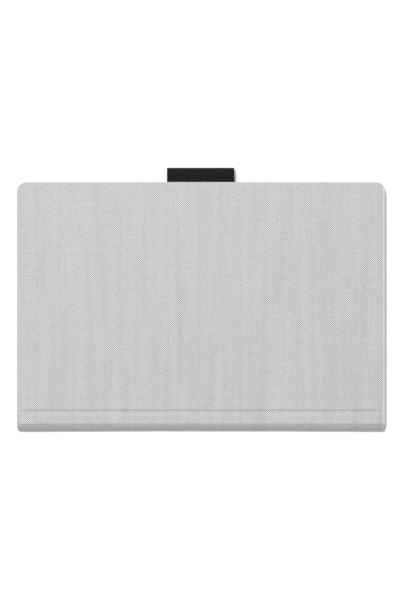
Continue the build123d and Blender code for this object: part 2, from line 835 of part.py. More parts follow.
with BuildPart() as touchpad_ribbon:
    with BuildSketch(typing_plane.offset(base_top)):
        strip(
            (ribbon_end - ribbon_start) / 2,
            ribbon_low,
            ribbon_high,
            (ribbon_start + ribbon_end) / 2,
        )
    extrude(amount=ribbon_thickness)
keep(touchpad_ribbon, "touchpad_ribbon")

inlay_height = 1.4
cell_corner = 1.5
# (x of the middle, half width) of each battery cell.
cells = [(-102.0, 33.0), (79.0, 18.0)]

with BuildPart() as battery_cells:
    with BuildSketch(typing_plane.offset(base_top)):
        for middle, half in cells:
            strip(half, board_low, ribbon_low - 1.0, middle)
    extrude(amount=inlay_height)
    fillet(battery_cells.edges().filter_by(Axis.Z), cell_corner)
keep(battery_cells, "battery_cells")

keyboard_magnet_y = -94.0
keyboard_magnet_size = (18.0, 4.0)

with BuildPart() as keyboard_magnets:
    with BuildSketch(typing_plane.offset(base_top)):
        with Locations(*[(x, keyboard_magnet_y) for x, _ in closure_magnets]):
            Rectangle(*keyboard_magnet_size)
    extrude(amount=inlay_height)
keep(keyboard_magnets, "keyboard_magnets")

with BuildPart() as charging_port:
    with BuildSketch(Plane.YZ.offset(-deck_half)):
        with Locations((-rear_centre, level((port_low + port_high) / 2))):
            RectangleRounded(port_width, port_high - port_low, port_corner)
            RectangleRounded(
                port_width - 2 * port_wall,
                port_high - port_low - 2 * port_wall,
                port_corner - port_wall,
                mode=Mode.SUBTRACT,
            )
    extrude(amount=port_depth)
    with BuildSketch(Plane.YZ.offset(-deck_half + port_depth)):
        with Locations((-rear_centre, level((port_low + port_high) / 2))):
            Rectangle(port_width - 1.0, port_high - port_low - 0.4)
    extrude(amount=-port_plug_depth)
    with BuildSketch(Plane.YZ.offset(-deck_half + port_depth)):
        with Locations((-rear_centre, level((port_low + port_high) / 2))):
            Rectangle(port_width - 3.0, port_tongue_height)
    extrude(amount=-port_depth + 1.0)
keep(charging_port, "charging_port")

slider_length = 3.0
slider_height = 1.2
slider_start = rear_centre - 1.3
slider_inner = 142.8
slider_outer = half_width - 0.1
switch_body_face = 144.3
switch_body_depth = 4.8
switch_body_level = 2.75
switch_body_size = (7.4, 2.3)
switch_pocket_depth = 1.8
grip_groove_width = 0.3
grip_groove_depth = 0.2
grip_groove_pitch = 0.8

with BuildPart() as power_switch_body:
    with BuildSketch(Plane.YZ.offset(switch_body_face)):
        with Locations((-rear_centre, level(switch_body_level))):
            Rectangle(*switch_body_size)
    extrude(amount=-switch_body_depth)
    with BuildSketch(Plane.YZ.offset(switch_body_face)):
        with Locations((-rear_centre, level((switch_low + switch_high) / 2))):
            Rectangle(switch_slot, switch_high - switch_low)
    extrude(amount=-switch_pocket_depth, mode=Mode.SUBTRACT)
keep(power_switch_body, "power_switch_body")

with BuildPart() as power_switch_slider:
    with BuildSketch(Plane.YZ.offset(slider_inner)):
        with Locations((-slider_start, level((switch_low + switch_high) / 2))):
            Rectangle(slider_length, slider_height)
    extrude(amount=slider_outer - slider_inner)
    # Three grip grooves on the thumb face.
    with BuildSketch(Plane.YZ.offset(slider_outer)):
        with Locations((-slider_start, level((switch_low + switch_high) / 2))):
            with GridLocations(grip_groove_pitch, 0, 3, 1):
                Rectangle(grip_groove_width, slider_height)
    extrude(amount=-grip_groove_depth, mode=Mode.SUBTRACT)
keep(power_switch_slider, "power_switch_slider")

with BuildPart() as status_light_pipes:
    with BuildSketch(typing_plane.offset(deck_underside)):
        with Locations(*light_points):
            Circle(light_radius)
    extrude(amount=rear_bar_top - deck_underside)
keep(status_light_pipes, "status_light_pipes")

with BuildPart() as deck_bumpers:
    with BuildSketch(typing_plane.offset(deck_top)):
        with Locations(*bumper_points):
            Circle(bumper_radius)
    extrude(amount=bumper_top - deck_top)
    fillet(deck_bumpers.faces().group_by(Axis.Z)[0].edges(), bumper_round)
keep(deck_bumpers, "deck_bumpers")

# The elastic pen loop: a sleeve beyond the free edge on a flat tail bonded under the fabric.
with BuildPart() as pen_loop:
    with BuildSketch(Plane.YZ.offset(-loop_length / 2)):
        with Locations((loop_centre_y, loop_centre_z)):
            Circle(loop_outer)
        with Locations(((loop_tail_end + loop_centre_y) / 2, level((fabric + base_top) / 2))):
            Rectangle(loop_centre_y - loop_tail_end, base_top - fabric)
        with Locations((loop_centre_y, loop_centre_z)):
            Circle(loop_outer - loop_wall, mode=Mode.SUBTRACT)
    extrude(amount=loop_length)
keep(pen_loop, "pen_loop")

os.makedirs("parts", exist_ok=True)
for piece in finished:
    export_step(piece, "parts/" + piece.label + ".step")
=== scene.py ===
import bmesh
import bpy
import json
import math
from mathutils import Matrix, Vector, noise

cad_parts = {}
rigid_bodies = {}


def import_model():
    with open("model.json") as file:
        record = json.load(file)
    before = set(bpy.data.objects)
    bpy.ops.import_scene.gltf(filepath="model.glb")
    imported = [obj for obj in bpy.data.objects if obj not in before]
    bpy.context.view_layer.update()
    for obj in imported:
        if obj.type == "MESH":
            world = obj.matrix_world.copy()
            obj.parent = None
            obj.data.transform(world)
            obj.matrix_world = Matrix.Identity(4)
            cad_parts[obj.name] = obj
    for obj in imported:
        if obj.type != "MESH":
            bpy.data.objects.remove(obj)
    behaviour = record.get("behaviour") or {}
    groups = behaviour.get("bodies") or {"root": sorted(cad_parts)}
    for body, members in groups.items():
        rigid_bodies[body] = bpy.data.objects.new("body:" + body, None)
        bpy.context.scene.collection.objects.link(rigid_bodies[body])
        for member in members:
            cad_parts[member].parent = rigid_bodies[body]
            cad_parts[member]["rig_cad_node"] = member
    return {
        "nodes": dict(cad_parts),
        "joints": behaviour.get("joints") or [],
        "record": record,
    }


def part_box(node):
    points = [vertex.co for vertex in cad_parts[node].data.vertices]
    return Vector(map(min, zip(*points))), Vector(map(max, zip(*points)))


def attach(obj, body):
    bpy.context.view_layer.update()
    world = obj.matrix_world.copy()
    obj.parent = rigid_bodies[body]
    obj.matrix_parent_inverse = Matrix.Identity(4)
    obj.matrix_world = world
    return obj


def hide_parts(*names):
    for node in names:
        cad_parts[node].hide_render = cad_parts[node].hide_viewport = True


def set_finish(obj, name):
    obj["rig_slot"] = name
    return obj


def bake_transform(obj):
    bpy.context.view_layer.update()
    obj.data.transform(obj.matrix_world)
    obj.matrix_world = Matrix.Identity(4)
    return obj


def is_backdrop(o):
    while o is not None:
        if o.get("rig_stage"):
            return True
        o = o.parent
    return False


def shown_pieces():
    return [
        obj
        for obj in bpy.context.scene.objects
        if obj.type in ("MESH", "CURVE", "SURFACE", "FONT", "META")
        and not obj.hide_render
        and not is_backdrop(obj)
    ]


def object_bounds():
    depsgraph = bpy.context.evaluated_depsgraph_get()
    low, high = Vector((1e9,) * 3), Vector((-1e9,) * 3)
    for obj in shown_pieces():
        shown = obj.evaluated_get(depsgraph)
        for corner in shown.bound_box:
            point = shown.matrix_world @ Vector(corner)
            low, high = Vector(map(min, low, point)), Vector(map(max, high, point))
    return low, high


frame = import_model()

MM = 0.001


def save_size(key, corners, sizes):
    sizes[key] = [list(corner) for corner in corners]


sizes = {}
save_size("cad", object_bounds(), sizes)


def box_mm(node):
    """(lowest, highest) corner of a CAD node in millimetres."""
    low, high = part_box(node)
    return low / MM, high / MM


def joint_axis(name):
    """(y, z) of a hinge's axis in millimetres."""
    pos = next(joint for joint in frame["joints"] if joint["name"] == name)["pos_m"]
    return pos[1] / MM, pos[2] / MM


# ---------------------------------------------------------------------------------------
# Measures taken from the frame, in millimetres
# ---------------------------------------------------------------------------------------
panel_low, panel_high = box_mm("keyboard_fabric")
HALF = panel_high.x
FREE_EDGE = panel_high.y
TOP = panel_high.z
SHEET = box_mm("kickstand_fabric")[1].z
FOLD_Y, LOWER_FOLD_Z = joint_axis("lower_spine_fold")
RIDGE_Y, RIDGE_Z = joint_axis("spine_ridge_fold")
UPPER_FOLD_Z = joint_axis("upper_spine_fold")[1]
CREASE_Y = joint_axis("cover_crease")[0]
STRIP_INNER = box_mm("strip_board")[0].z
TRAY_EDGE = box_mm("tablet_tray")[0].y
CORNER = 8.0
PANEL_LIP = TOP - panel_low.z
BACK_LIP = box_mm("back_fabric")[1].z

# ---------------------------------------------------------------------------------------
# The case's bent middle surface, from the keyboard panel's free edge round the spine to the
# tablet half's free edge. A place on it is (x across, s along, depth below the outer face).
# ---------------------------------------------------------------------------------------
BELLY_Y, BELLY_RISE = -97.3, 4.49
FOLD_SHIFT, APEX_SHIFT = 0.75, 0.1
STRIP_SEAM_Y = -89.0


def rounded_path(points, cuts, steps=12):
    """Rows of (y, z) through the points, each inner corner cut back and bent as a smooth arc."""
    path = [Vector(points[0])]
    for before, at, after, cut in zip(points, points[1:], points[2:], cuts):
        at = Vector(at)
        start = at + (Vector(before) - at).normalized() * cut
        end = at + (Vector(after) - at).normalized() * cut
        for i in range(steps + 1):
            t = i / steps
            path.append(start * (1 - t) ** 2 + at * 2 * t * (1 - t) + end * t ** 2)
    path.append(Vector(points[-1]))
    return path


half_sheet = SHEET / 2
APEX_Y = -FREE_EDGE + half_sheet
PATH = rounded_path(
    [
        (FREE_EDGE, TOP - half_sheet),
        (FOLD_Y + FOLD_SHIFT, TOP - half_sheet),
        (BELLY_Y, RIDGE_Z + BELLY_RISE),
        (APEX_Y + APEX_SHIFT, RIDGE_Z),
        (BELLY_Y, RIDGE_Z - BELLY_RISE),
        (FOLD_Y + FOLD_SHIFT, half_sheet),
        (FREE_EDGE, half_sheet),
    ],
    [0.9, 1.9, 1.1, 1.9, 0.9],
)


def path_table(path):
    """(arc length, point, outward normal) at each row of the path."""
    lengths = [0.0]
    for a, b in zip(path, path[1:]):
        lengths.append(lengths[-1] + (b - a).length)
    table = []
    for i, point in enumerate(path):
        a, b = path[max(i - 1, 0)], path[min(i + 1, len(path) - 1)]
        if 0 < i < len(path) - 1:
            heading = ((point - a).normalized() + (b - point).normalized()).normalized()
        else:
            heading = (b - a).normalized()
        table.append((lengths[i], point, Vector((heading.y, -heading.x))))
    return table


TABLE = path_table(PATH)


def on_path(s):
    """(point, outward normal) at arc length s."""
    for (s0, p0, n0), (s1, p1, n1) in zip(TABLE, TABLE[1:]):
        if s <= s1 or s1 == TABLE[-1][0]:
            t = (s - s0) / (s1 - s0)
            return p0.lerp(p1, t), n0.lerp(n1, t).normalized()


def s_near(y, z):
    """Arc length of the path's row nearest to a point."""
    best = min(
        (((p0.lerp(p1, t) - Vector((y, z))).length, s0 + (s1 - s0) * t)
         for (s0, p0, _), (s1, p1, _) in zip(TABLE, TABLE[1:])
         for t in (0.0, 0.25, 0.5, 0.75, 1.0)),
    )
    return best[1]


def top_s(y):
    """Arc length of a place on the keyboard half's flat."""
    return FREE_EDGE - y


def back_s(y):
    """Arc length of a place on the tablet half's flat."""
    return TABLE[-1][0] - (FREE_EDGE - y)


S_END = TABLE[-1][0]
S_UPPER_FOLD = s_near(FOLD_Y, UPPER_FOLD_Z)
S_LOWER_FOLD = s_near(FOLD_Y, LOWER_FOLD_Z)
S_RIDGE = (S_UPPER_FOLD + S_LOWER_FOLD) / 2
S_UPPER_SEAM = s_near(BELLY_Y, RIDGE_Z + BELLY_RISE)
S_LOWER_SEAM = s_near(BELLY_Y, RIDGE_Z - BELLY_RISE)
S_STRIP_SEAM = top_s(STRIP_SEAM_Y)
S_CREASE = top_s(CREASE_Y)


def step(t):
    """A smooth step from 0 to 1."""
    t = min(1.0, max(0.0, t))
    return t * t * (3 - 2 * t)


GROOVE_DEPTH = 0.85
GROOVE_INNER, GROOVE_OUTER = 0.7, 2.6
GROOVE_FADE = (142.2, 144.4)
RIDGE_TAPER, RIDGE_BOW = 0.7, 0.55
RIPPLE_FADE = 12.0
# The edge's lip keeps this share of its depth up to the first distance from the ridge, and has
# all of it from the second on.
LIP_SPAN, LIP_AT_RIDGE = (10.5, 24.5), 0.35


def groove(x, s):
    """How deep the pressed crease is at a place."""
    across = 1 - step((abs(s - S_CREASE) - GROOVE_INNER) / (GROOVE_OUTER - GROOVE_INNER))
    along = 1 - step((abs(x) - GROOVE_FADE[0]) / (GROOVE_FADE[1] - GROOVE_FADE[0]))
    return GROOVE_DEPTH * across * along


def ripple(x, s, amount=0.05, size=26.0):
    """The slight unevenness of cloth bonded over a board, zero at the sheet's edges."""
    fade = 1.0
    for distance in (HALF - abs(x), s, S_END - s):
        fade *= step(distance / RIPPLE_FADE)
    broad = noise.noise(Vector((x / size, s / size, 3.1)))
    small = noise.noise(Vector((x / 9.0, s / 11.0, 7.7)))
    return amount * (broad + 0.5 * small) * fade


def spine_share(s):
    """0 on the flats and 1 at the ridge."""
    rise = step((s - S_UPPER_FOLD) / (S_RIDGE - S_UPPER_FOLD))
    fall = step((S_LOWER_FOLD - s) / (S_LOWER_FOLD - S_RIDGE))
    return rise * fall


def bowed(x, s, at):
    """The point in metres for (y, z) at x, with the spine drawn in at its ends and middle."""
    share = spine_share(s)
    bow = RIDGE_BOW * share * (1 - (x / HALF) ** 2)
    return Vector((x * (1 - RIDGE_TAPER * share / HALF), at.x + bow, at.y)) * MM


def place_outer(x, s, depth):
    """A place in the outer fabric as a point in metres."""
    point, out = on_path(s)
    if depth > SHEET:
        flat = step((abs(s - S_RIDGE) - LIP_SPAN[0]) / (LIP_SPAN[1] - LIP_SPAN[0]))
        depth = SHEET + (depth - SHEET) * (LIP_AT_RIDGE + (1 - LIP_AT_RIDGE) * flat)
    return bowed(x, s, point + out * (half_sheet - depth - groove(x, s) + ripple(x, s)))


# ---------------------------------------------------------------------------------------
# Sheets: closed thick meshes laid out flat, then put in place
# ---------------------------------------------------------------------------------------
def mesh_object(name, points, faces, uvs, sharp=50.0):
    """A smooth mesh object with one UV per vertex, in metres, and sharp edges over an angle."""
    mesh = bpy.data.meshes.new(name)
    mesh.from_pydata(points, [], faces)
    work = bmesh.new()
    work.from_mesh(mesh)
    bmesh.ops.recalc_face_normals(work, faces=work.faces)
    work.to_mesh(mesh)
    work.free()
    layer = mesh.uv_layers.new(name="UVMap")
    for loop in mesh.loops:
        layer.data[loop.index].uv = uvs[loop.vertex_index]
    mesh.shade_smooth()
    mesh.set_sharp_from_angle(angle=math.radians(sharp))
    obj = bpy.data.objects.new(name, mesh)
    bpy.context.scene.collection.objects.link(obj)
    return obj


def edge_profile(thick, lip, wrap, inset, cove=0.15):
    """(inset, depth) pairs from the top face over the wrapped edge to the underside. A lip deeper
    than the sheet hangs down from the edge and meets the underside in a small cove."""
    profile = []
    for i in range(6):
        a = math.radians(90 * i / 5)
        profile.append((wrap * (1 - math.sin(a)), wrap * (1 - math.cos(a))))
    if lip > thick + 2 * cove:
        foot = min(0.2, thick / 3)
        profile += [(0, lip - foot), (foot, lip), (thick - foot, lip), (thick, lip - foot)]
        profile += [(thick, thick + cove), (thick + cove, thick)]
    else:
        for i in range(1, 5):
            a = math.radians(90 * i / 4)
            profile.append((wrap * (1 - math.cos(a)), thick - wrap + wrap * math.sin(a)))
    return [(inset, 0.0)] + profile + [(inset, thick)]


def sheet(name, seam, free, rows, half, profile, place, columns, corner=None):
    """A sheet from the row at seam to the row at free. With a corner radius, the free end is an
    edge with two rounded corners; without one it is a second seam."""
    inset, thick = profile[-1]
    points, uvs, faces = [], [], []

    def add(x, s, depth, uv):
        points.append(place(x, s, depth))
        uvs.append((uv[0] * MM, uv[1] * MM))
        return len(points) - 1

    toward = 1 if free > seam else -1
    spans = []
    for s in rows:
        spans.append((s, half - inset, None))
    if corner:
        for i in range(1, 10):
            a = math.radians(10 * i)
            s = free - toward * (corner - (corner - inset) * math.sin(a))
            spans.append((s, half - corner + (corner - inset) * math.cos(a), a))
    shares = [-1 + 2 * j / columns for j in range(columns + 1)]
    top = [[add(w * t, s, 0, (w * t, s)) for t in shares] for s, w, _ in spans]
    under = [[add(w * t, s, thick, (w * t, s)) for t in shares] for s, w, _ in spans]
    for i in range(len(spans) - 1):
        for j in range(columns):
            faces.append((top[i][j], top[i][j + 1], top[i + 1][j + 1], top[i + 1][j]))
            faces.append((under[i][j], under[i + 1][j], under[i + 1][j + 1], under[i][j + 1]))

    def rim(i, j, side):
        """(edge point, outward direction) in the flat layout for a grid vertex on the border."""
        s, w, a = spans[i]
        if a is None:
            return (side * half, s), (side, 0.0)
        if 0 < j < columns:
            return (w * shares[j], free), (0.0, toward)
        out = (side * math.cos(a), toward * math.sin(a))
        middle = (side * (half - corner), free - toward * corner)
        return (middle[0] + corner * out[0], middle[1] + corner * out[1]), out

    def ring(i, j, side):
        """The vertices of the wrapped edge beside a border vertex, from top to underside."""
        (x, s), out = rim(i, j, side)
        chain = [top[i][j]]
        for q, d in profile[1:-1]:
            away = d - q
            chain.append(add(x - q * out[0], s - q * out[1], d, (x + away * out[0], s + away * out[1])))
        return chain + [under[i][j]]

    last = len(spans) - 1
    left = [ring(i, 0, -1) for i in range(last + 1)]
    right = [ring(i, columns, 1) for i in range(last + 1)]
    borders = [left, right]
    if corner:
        end = [left[-1]] + [ring(last, j, 0) for j in range(1, columns)] + [right[-1]]
        borders.append(end)
    for border in borders:
        for a, b in zip(border, border[1:]):
            for k in range(len(profile) - 1):
                faces.append((a[k], a[k + 1], b[k + 1], b[k]))
    for i in (0,) if corner else (0, last):
        for j in range(columns):
            faces.append((top[i][j], under[i][j], under[i][j + 1], top[i][j + 1]))
        faces.append(tuple(left[i]))
        faces.append(tuple(right[i]))
    return mesh_object(name, points, faces, uvs)


def row_list(start, end, pitch, fine=(), gap=0.1):
    """Rows from start to end, every pitch, and every fine pitch inside the (from, to, pitch) zones.
    Fine rows keep a gap from both ends."""
    low, high = min(start, end), max(start, end)
    rows = {round(low, 4), round(high, 4)}
    count = max(1, round((high - low) / pitch))
    for i in range(count + 1):
        s = low + (high - low) * i / count
        if not any(a - 0.4 * pitch < s < b + 0.4 * pitch for a, b, _ in fine):
            rows.add(round(s, 4))
    for a, b, small in fine:
        number = max(1, round((b - a) / small))
        for i in range(number + 1):
            s = a + (b - a) * i / number
            if low + gap < s < high - gap:
                rows.add(round(s, 4))
    ordered = sorted(rows)
    return ordered if start < end else ordered[::-1]


def outline(x0, x1, y0, y1, radii, steps=7):
    """(x, y, outward x, outward y) round a rectangle. Its corner radii start at the low-x, low-y
    corner and go anticlockwise."""
    ring = []
    corners = [(x0, y0, 180), (x1, y0, 270), (x1, y1, 0), (x0, y1, 90)]
    for (x, y, turn), radius in zip(corners, radii):
        cx = x + (radius if x == x0 else -radius)
        cy = y + (radius if y == y0 else -radius)
        for i in range(steps + 1):
            a = math.radians(turn + 90 * i / steps)
            out_x, out_y = math.cos(a), math.sin(a)
            ring.append((cx + radius * out_x, cy + radius * out_y, out_x, out_y))
    return ring


def slab(name, ring, profile):
    """A flat piece from an outline. The profile holds (inset, z) pairs from its middle below to its
    middle above."""
    points, uvs, faces = [], [], []
    count = len(ring)
    for inset, z in profile:
        for x, y, out_x, out_y in ring:
            at = (x - inset * out_x, y - inset * out_y)
            points.append(Vector((at[0], at[1], z)) * MM)
            uvs.append((at[0] * MM, at[1] * MM))
    for level in range(len(profile) - 1):
        for i in range(count):
            a, b = level * count + i, level * count + (i + 1) % count
            faces.append((a, b, b + count, a + count))
    faces.append(tuple(range(count))[::-1])
    faces.append(tuple(range(len(points) - count, len(points))))
    return mesh_object(name, points, faces, uvs)


def round_edges(thick, low, inset, wrap):
    """The profile of a slab with both edges rounded."""
    profile = [(inset, low)]
    for i in range(5):
        a = math.radians(90 * i / 4)
        profile.append((wrap * (1 - math.sin(a)), low + wrap * (1 - math.cos(a))))
    for i in range(5):
        a = math.radians(90 * i / 4)
        profile.append((wrap * (1 - math.cos(a)), low + thick - wrap + wrap * math.sin(a)))
    return profile + [(inset, low + thick)]


def cut(obj, *rings, low, high):
    """Cuts prisms with these outlines out of a mesh object."""
    for number, ring in enumerate(rings):
        tool = slab(f"{obj.name}_cut{number}", ring, [(0.0, low), (0.0, high)])
        modifier = obj.modifiers.new("cut", "BOOLEAN")
        modifier.operation = "DIFFERENCE"
        modifier.solver = "EXACT"
        modifier.object = tool
        evaluated = obj.evaluated_get(bpy.context.evaluated_depsgraph_get())
        mesh = bpy.data.meshes.new_from_object(evaluated)
        obj.modifiers.clear()
        obj.data = mesh
        bpy.data.objects.remove(tool)
    obj.data.name = obj.name
    obj.data.shade_smooth()
    obj.data.set_sharp_from_angle(angle=math.radians(50))


def joined(name, objects):
    """One object made of several meshes."""
    with bpy.context.temp_override(active_object=objects[0], selected_editable_objects=objects):
        bpy.ops.object.join()
    objects[0].name = name
    objects[0].data.name = name
    return objects[0]


# ---------------------------------------------------------------------------------------
# Outer fabric in four pieces that meet where the case stays stiff
# ---------------------------------------------------------------------------------------
WRAP, SUPPORT = 0.34, 2.4
CREASE_ZONE, SPINE_ZONE = 3.3, 2.0
FLAT_PITCH, SPINE_PITCH, RIDGE_PITCH, FOLD_PITCH = 4.5, 1.5, 0.6, 0.3
fold_rows = [
    (S_CREASE - CREASE_ZONE, S_CREASE + CREASE_ZONE, FOLD_PITCH),
    (S_UPPER_FOLD - SPINE_ZONE, S_LOWER_FOLD + SPINE_ZONE, FOLD_PITCH),
]
panel_profile = edge_profile(SHEET, PANEL_LIP, WRAP, SUPPORT)
back_profile = edge_profile(SHEET, BACK_LIP, WRAP, SUPPORT)


COLUMNS = 56
panel_rows = row_list(S_STRIP_SEAM, CORNER, FLAT_PITCH, fold_rows)
cover_panel = sheet("cover_panel_cloth", S_STRIP_SEAM, 0.0, panel_rows, HALF, panel_profile,
                    place_outer, COLUMNS, CORNER)
spine_rows = row_list(S_STRIP_SEAM, S_UPPER_SEAM, SPINE_PITCH, fold_rows)
cover_fold = sheet("upper_fold_cloth", S_STRIP_SEAM, S_UPPER_SEAM, spine_rows, HALF, panel_profile,
                   place_outer, COLUMNS)
ridge_rows = row_list(S_UPPER_SEAM, S_LOWER_SEAM, RIDGE_PITCH, fold_rows)
cover_ridge = sheet("ridge_cloth", S_UPPER_SEAM, S_LOWER_SEAM, ridge_rows, HALF, panel_profile,
                    place_outer, COLUMNS)
back_rows = row_list(S_LOWER_SEAM, S_END - CORNER, FLAT_PITCH, fold_rows)
cover_back = sheet("back_cloth", S_LOWER_SEAM, S_END, back_rows, HALF, back_profile,
                   place_outer, COLUMNS, CORNER)

WINDOW_GAP, WINDOW_TOP = 0.6, 16.8
WINDOW_RADIUS, HINGE_RADIUS = 4.6, 0.8
NOTCH_RADIUS, NOTCH_CORNER = 9.0, 8.99
CAMERA_GAP, CAMERA_EASE = 0.1, 0.001
CUT_LOW, CUT_ROOF = -2.0, 0.1
recess_low, recess_high = box_mm("kickstand_plate")
camera_low, camera_high = box_mm("camera_trim")
window = outline(recess_low.x - WINDOW_GAP, recess_high.x + WINDOW_GAP, recess_low.y - WINDOW_GAP,
                 WINDOW_TOP, [WINDOW_RADIUS, WINDOW_RADIUS, HINGE_RADIUS, HINGE_RADIUS])
notch_middle = recess_low.y - WINDOW_GAP
notch = outline(-NOTCH_RADIUS, NOTCH_RADIUS, notch_middle - NOTCH_RADIUS, notch_middle + NOTCH_RADIUS,
                [NOTCH_CORNER] * 4, 10)
slot_radius = (camera_high.y - camera_low.y) / 2 + CAMERA_GAP
camera_ring = outline(camera_low.x - CAMERA_GAP, camera_high.x + CAMERA_GAP, camera_low.y - CAMERA_GAP,
                      camera_high.y + CAMERA_GAP, [slot_radius - CAMERA_EASE] * 4, 10)
cut(cover_back, window, notch, camera_ring, low=CUT_LOW, high=BACK_LIP - CUT_ROOF)

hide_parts("keyboard_fabric")
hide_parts("strip_fabric")
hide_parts("spine_lower_fabric", "spine_upper_fabric")
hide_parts("back_fabric")
for piece, turn in (
    (cover_panel, "crease"), (cover_fold, "upper"), (cover_ridge, "ridge"), (cover_back, "lower"),
):
    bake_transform(piece)
    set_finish(piece, "outer_fabric")

STAND_GAP, STAND_CORNER, STAND_WRAP = 0.1, 0.6, 0.22
GLUE, FLAT_INSET = 0.02, 0.5
cover_low, cover_high = box_mm("kickstand_fabric")
kickstand_cloth = slab(
    "kickstand_cloth",
    outline(cover_low.x + STAND_GAP, cover_high.x - STAND_GAP, cover_low.y, cover_high.y,
            [STAND_CORNER] * 4),
    round_edges(SHEET, cover_low.z + GLUE, FLAT_INSET, STAND_WRAP),
)
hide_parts("kickstand_fabric")
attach(kickstand_cloth, "kickstand")
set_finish(kickstand_cloth, "outer_fabric")

# ---------------------------------------------------------------------------------------
# Lining: the same sheet on the inside, thinner, from the tray to the keyboard deck
# ---------------------------------------------------------------------------------------
LINING = 0.4
FOLD_OFFSET, LIMB_OFFSET = 0.56, 1.16
STRIP_OFFSET = TOP - half_sheet - STRIP_INNER + LINING / 2 + GLUE
LIMB_GAP, LIMB_RAMP = 0.6, 1.2
# (distance from the strip board's edge, length of the lining's ramp) before and after the board.
STRIP_BEFORE, STRIP_AFTER = (0.9, 1.2), (1.0, 1.1)
strip_low, strip_high = box_mm("strip_board")


def lining_offset(s):
    """Distance from the outer fabric's middle to the lining's middle, more over the boards."""
    on_strip = step((s - top_s(strip_high.y + STRIP_BEFORE[0])) / STRIP_BEFORE[1])
    on_strip *= step((top_s(strip_low.y - STRIP_AFTER[0]) - s) / STRIP_AFTER[1])
    limb = 0.0
    for a, b in ((S_UPPER_FOLD, S_RIDGE), (S_RIDGE, S_LOWER_FOLD)):
        limb = max(limb, step((s - a - LIMB_GAP) / LIMB_RAMP) * step((b - LIMB_GAP - s) / LIMB_RAMP))
    return FOLD_OFFSET + (LIMB_OFFSET - FOLD_OFFSET) * limb + (STRIP_OFFSET - FOLD_OFFSET) * on_strip


def place_lining(x, s, depth):
    """A place in the lining as a point in metres; depth 0 is the face seen when the case is open."""
    point, out = on_path(s)
    return bowed(x, s, point - out * (lining_offset(s) + groove(x, s) + LINING / 2 - depth))


def place_board(x, s, depth):
    """A place in a spine board as a point in metres."""
    point, out = on_path(s)
    return bowed(x, s, point - out * (half_sheet + GLUE + depth))


LINING_HALF = box_mm("strip_lining")[1].x
LINING_WRAP, LINING_SUPPORT = 0.15, 1.6
LINING_PITCH, STEP_PITCH, LINING_COLUMNS = 0.8, 0.25, 40
lining_profile = edge_profile(LINING, 0.0, LINING_WRAP, LINING_SUPPORT)
lining_rows = fold_rows + [
    (top_s(strip_high.y) - 1.6, top_s(strip_high.y) + 1.2, STEP_PITCH),
    (top_s(strip_low.y) - 1.0, top_s(strip_low.y) + 2.0, STEP_PITCH),
]
DECK_GAP, TRAY_GAP = 1.7, 0.1
S_DECK = top_s(CREASE_Y + DECK_GAP)
S_TRAY = back_s(TRAY_EDGE - TRAY_GAP)
for name, start, end, turn, nodes in (
    ("crease_lining", S_DECK, S_STRIP_SEAM, "crease", ()),
    ("strip_lining_cloth", S_STRIP_SEAM, S_UPPER_SEAM, "upper", ("strip_lining",)),
    ("ridge_lining_cloth", S_UPPER_SEAM, S_LOWER_SEAM, "ridge",
     ("spine_upper_lining", "spine_lower_lining")),
    ("tray_edge_lining", S_LOWER_SEAM, S_TRAY, "lower", ()),
):
    piece = sheet(name, start, end, row_list(start, end, LINING_PITCH, lining_rows), LINING_HALF,
                  lining_profile, place_lining, LINING_COLUMNS)
    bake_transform(piece)
    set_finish(piece, "lining")
    if nodes:
        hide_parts(*nodes)

BOARD, BOARD_COLUMNS = 0.56, 24
FOLD_GAP, RIDGE_GAP = 1.7, 2.1
BOARD_WRAP, BOARD_SUPPORT = 0.1, 1.0
board_profile = edge_profile(BOARD, 0.0, BOARD_WRAP, BOARD_SUPPORT)
for body, start, end in (("spine_upper", S_UPPER_FOLD + FOLD_GAP, S_RIDGE - RIDGE_GAP),
                         ("spine_lower", S_RIDGE + RIDGE_GAP, S_LOWER_FOLD - FOLD_GAP)):
    node = body + "_board"
    board = sheet(node + "_bent", start, end, row_list(start, end, LINING_PITCH), box_mm(node)[1].x,
                  board_profile, place_board, BOARD_COLUMNS)
    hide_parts(node)
    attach(board, body)
    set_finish(board, "stiffener")

TRAY_RADII, TRAY_WRAP = [0.6, 0.6, 4.6, 4.6], 0.18
tray_low, tray_high = box_mm("tray_lining")
tray_suede = slab(
    "tray_suede",
    outline(tray_low.x, tray_high.x, tray_low.y, tray_high.y, TRAY_RADII),
    round_edges(tray_high.z - tray_low.z, tray_low.z, FLAT_INSET, TRAY_WRAP),
)
cut(tray_suede, camera_ring, low=tray_low.z - 1, high=tray_high.z + 1)
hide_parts("tray_lining")
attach(tray_suede, "tablet_half")
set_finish(tray_suede, "lining")

# ---------------------------------------------------------------------------------------
# Pen loop: one ribbed elastic band bent into a sleeve, its tail bonded under the cover
# ---------------------------------------------------------------------------------------
loop_low, loop_high = box_mm("pen_loop")
BAND = 0.9
LOOP_RADIUS = (loop_high.z - loop_low.z) / 2 - BAND / 2
LOOP_Y = loop_high.y - LOOP_RADIUS - BAND / 2
LOOP_Z = loop_high.z - LOOP_RADIUS - BAND / 2
RIB_PITCH, RIB_HEIGHT = 1.07, 0.1
LOOP_SPREAD, LOOP_SHIFT = 0.15, -0.5
TAIL_START, TAIL_PITCH = 0.9, 0.12
FRAY, FRAY_TURN, FRAY_WIDTH = 0.06, 5.9, 0.3


def loop_line():
    """(y, z) rows along the band's middle, from its hidden tail round the pen and back under."""
    tail = FREE_EDGE - TAIL_START
    line = [Vector((tail + i * TAIL_PITCH, LOOP_Z + LOOP_RADIUS)) for i in range(58)]
    line = [point for point in line if point.x < LOOP_Y - 0.05]
    turns = 190
    for i in range(turns + 1):
        a = math.radians(90 - 318 * i / turns)
        line.append(Vector((LOOP_Y + LOOP_RADIUS * math.cos(a), LOOP_Z + LOOP_RADIUS * math.sin(a))))
    return line


